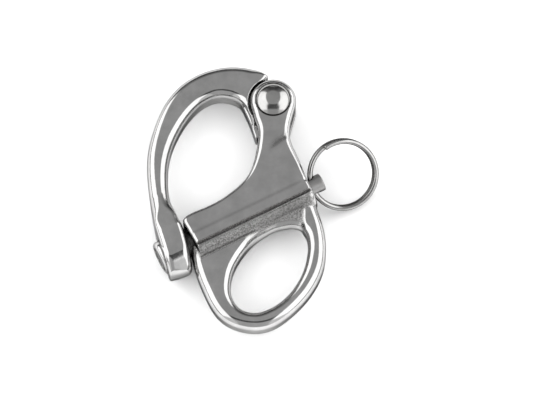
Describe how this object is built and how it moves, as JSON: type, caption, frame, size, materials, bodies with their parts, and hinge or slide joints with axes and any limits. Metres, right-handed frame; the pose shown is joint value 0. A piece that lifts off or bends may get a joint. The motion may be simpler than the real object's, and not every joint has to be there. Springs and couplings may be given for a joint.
{
  "type": "snap shackle",
  "caption": "Fixed-eye snap shackle in cast stainless steel: hinged bow locked by a spring plunger with a split pull ring.",
  "frame": {"origin": "bottom centre of the bounding box, with the shackle lying on its back", "axes": "+Y along the load axis, from the fixed eye to the bow's crown; +Z out of the front face; +X towards the pull ring"},
  "size_m": [0.0576, 0.0704, 0.0138],
  "materials": {
    "cast_steel": "polished",
    "turned_steel": "satin",
    "wire_steel": "polished"
  },
  "bodies": {
    "body": {"shackle_body": "cast_steel", "hinge_rivet": "turned_steel", "plunger_spring": "wire_steel"},
    "bow": {"bow": "cast_steel"},
    "plunger": {"plunger": "turned_steel"},
    "ring": {"split_ring": "wire_steel"}
  },
  "joints": [
    {"name": "bow_hinge", "type": "hinge", "parent": "body", "child": "bow", "pos_m": [0.003, 0.02507, 0.0069], "axis": [0, 0, -1], "range_deg": [0, 105]},
    {"name": "plunger_pull", "type": "slide", "parent": "body", "child": "plunger", "axis": [0.8892, 0.4576, 0], "range_m": [0, 0.007], "stiffness_N_per_m": 350, "springref_m": -0.012, "deforming": ["plunger_spring"]},
    {"name": "ring_swing", "type": "hinge", "parent": "plunger", "child": "ring", "pos_m": [0.01288, 0.00359, 0.0069], "axis": [-0.3922, 0.7622, 0.515], "range_deg": [-80, 65]}
  ]
}
